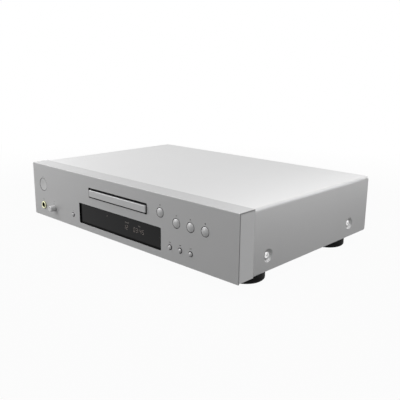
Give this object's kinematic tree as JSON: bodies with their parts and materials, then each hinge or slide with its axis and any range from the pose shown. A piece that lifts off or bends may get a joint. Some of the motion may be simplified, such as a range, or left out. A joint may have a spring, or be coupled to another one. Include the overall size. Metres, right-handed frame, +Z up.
{
  "type": "cd player",
  "caption": "Low full-width disc player with a motor-driven front tray, display window, push buttons, headphone socket and level knob.",
  "frame": {"origin": "on the floor, under the middle of the whole player's bounding box", "axes": "+X to the right as the front is faced, +Y to the back, +Z up"},
  "size_m": [0.435, 0.3112, 0.0987],
  "materials": {
    "front_plate": "fine bead-blasted silver anodised",
    "tray_front": "silver anodised, polished edges",
    "end_cap": "silver-grey painted moulding",
    "cover_paint": "silver-white semi-matt paint, fine texture",
    "button": "silver, satin",
    "knob": "turned silver",
    "chassis_steel": "zinc-plated sheet",
    "rear_steel": "grey sheet",
    "subframe": "black moulding",
    "display_pane": "smoked, glossy",
    "display_tube": "dark glass",
    "circuit_board": "green solder mask",
    "socket_gold": "gold-plated",
    "socket_black": "black moulding",
    "metal_can": "plain steel can",
    "foot": "black, satin",
    "screw": "bright plated",
    "tray": "dark moulding",
    "loader_plastic": "black moulding",
    "white_plastic": "natural moulding",
    "belt": "black",
    "transformer": "varnished laminations",
    "traverse": "grey moulding",
    "turntable": "black moulding",
    "sled": "black moulding",
    "rod_steel": "ground steel",
    "bridge_steel": "zinc-plated sheet"
  },
  "bodies": {
    "casing": {"front_plate": "front_plate", "end_cap_left": "end_cap", "end_cap_right": "end_cap", "top_cover": "cover_paint", "bottom_chassis": "chassis_steel", "rear_panel": "rear_steel", "front_subframe": "subframe", "display_window": "display_pane", "display_tube": "display_tube", "control_board": "circuit_board", "main_board": "circuit_board", "headphone_bush": "socket_gold", "phono_socket_left": "socket_gold", "phono_socket_right": "socket_gold", "coaxial_socket": "socket_gold", "headphone_socket": "socket_black", "optical_socket": "socket_black", "mains_inlet": "socket_black", "level_potentiometer": "metal_can", "loading_motor": "metal_can", "foot_front_left": "foot", "foot_front_right": "foot", "foot_rear_left": "foot", "foot_rear_right": "foot", "foot_screw_front_left": "screw", "foot_screw_front_right": "screw", "foot_screw_rear_left": "screw", "foot_screw_rear_right": "screw", "side_screw_front_left": "screw", "side_screw_front_right": "screw", "side_screw_rear_left": "screw", "side_screw_rear_right": "screw", "rear_screw_left": "screw", "rear_screw_middle": "screw", "rear_screw_right": "screw", "loader_frame": "loader_plastic", "loading_belt": "belt", "transformer": "transformer", "clamp_bridge": "bridge_steel"},
    "tray": {"disc_tray": "tray", "tray_door": "tray_front"},
    "drive_gear": {"drive_gear": "white_plastic"},
    "motor_pulley": {"motor_pulley": "white_plastic"},
    "traverse": {"traverse_frame": "traverse", "spindle_motor": "metal_can", "guide_rod_left": "rod_steel", "guide_rod_right": "rod_steel"},
    "turntable": {"turntable": "turntable"},
    "sled": {"laser_sled": "sled"},
    "clamper": {"clamper": "white_plastic"},
    "level_knob": {"level_knob": "knob"},
    "power_button": {"power_button": "button"},
    "open_button": {"open_button": "button"},
    "play_button": {"play_button": "button"},
    "pause_button": {"pause_button": "button"},
    "stop_button": {"stop_button": "button"},
    "skip_back_button": {"skip_back_button": "button"},
    "skip_forward_button": {"skip_forward_button": "button"},
    "repeat_button": {"repeat_button": "button"},
    "dimmer_button": {"dimmer_button": "button"}
  },
  "joints": [
    {"name": "tray_slide", "type": "slide", "parent": "casing", "child": "tray", "axis": [0, -1, 0], "range_m": [0, 0.135]},
    {"name": "drive_gear_spin", "type": "hinge", "parent": "casing", "child": "drive_gear", "pos_m": [-0.04579, -0.1081, 0.0694], "axis": [0, 0, 1], "range_deg": [0, 540]},
    {"name": "motor_pulley_spin", "type": "hinge", "parent": "casing", "child": "motor_pulley", "pos_m": [0.00021, -0.1081, 0.0694], "axis": [0, 0, 1], "range_deg": [0, 1645]},
    {"name": "traverse_lift", "type": "hinge", "parent": "casing", "child": "traverse", "pos_m": [-0.0025, 0.0185, 0.06515], "axis": [-1, 0, 0], "range_deg": [0, 2.99]},
    {"name": "turntable_spin", "type": "hinge", "parent": "traverse", "child": "turntable", "pos_m": [-0.0025, -0.07801, 0.07238], "axis": [0, -0.0521, 0.9986], "continuous": true},
    {"name": "sled_slide", "type": "slide", "parent": "traverse", "child": "sled", "axis": [0, 0.9986, 0.0521], "range_m": [0, 0.034]},
    {"name": "clamper_spin", "type": "hinge", "parent": "casing", "child": "clamper", "pos_m": [-0.0025, -0.0775, 0.0837], "axis": [0, 0, 1], "continuous": true},
    {"name": "level_turn", "type": "hinge", "parent": "casing", "child": "level_knob", "pos_m": [-0.16, -0.1461, 0.0326], "axis": [0, -1, 0], "range_deg": [-150, 150]},
    {"name": "power_press", "type": "slide", "parent": "casing", "child": "power_button", "axis": [0, 1, 0], "range_m": [0, 0.001], "stiffness_N_per_m": 400},
    {"name": "open_press", "type": "slide", "parent": "casing", "child": "open_button", "axis": [0, 1, 0], "range_m": [0, 0.001], "stiffness_N_per_m": 400},
    {"name": "play_press", "type": "slide", "parent": "casing", "child": "play_button", "axis": [0, 1, 0], "range_m": [0, 0.001], "stiffness_N_per_m": 400},
    {"name": "pause_press", "type": "slide", "parent": "casing", "child": "pause_button", "axis": [0, 1, 0], "range_m": [0, 0.001], "stiffness_N_per_m": 400},
    {"name": "stop_press", "type": "slide", "parent": "casing", "child": "stop_button", "axis": [0, 1, 0], "range_m": [0, 0.001], "stiffness_N_per_m": 400},
    {"name": "skip_back_press", "type": "slide", "parent": "casing", "child": "skip_back_button", "axis": [0, 1, 0], "range_m": [0, 0.001], "stiffness_N_per_m": 400},
    {"name": "skip_forward_press", "type": "slide", "parent": "casing", "child": "skip_forward_button", "axis": [0, 1, 0], "range_m": [0, 0.001], "stiffness_N_per_m": 400},
    {"name": "repeat_press", "type": "slide", "parent": "casing", "child": "repeat_button", "axis": [0, 1, 0], "range_m": [0, 0.001], "stiffness_N_per_m": 400},
    {"name": "dimmer_press", "type": "slide", "parent": "casing", "child": "dimmer_button", "axis": [0, 1, 0], "range_m": [0, 0.001], "stiffness_N_per_m": 400}
  ],
  "couplings": [
    {"joint": "drive_gear_spin", "follows": "tray_slide", "rad_per_m": 69.444},
    {"joint": "motor_pulley_spin", "follows": "tray_slide", "rad_per_m": 212.19}
  ]
}
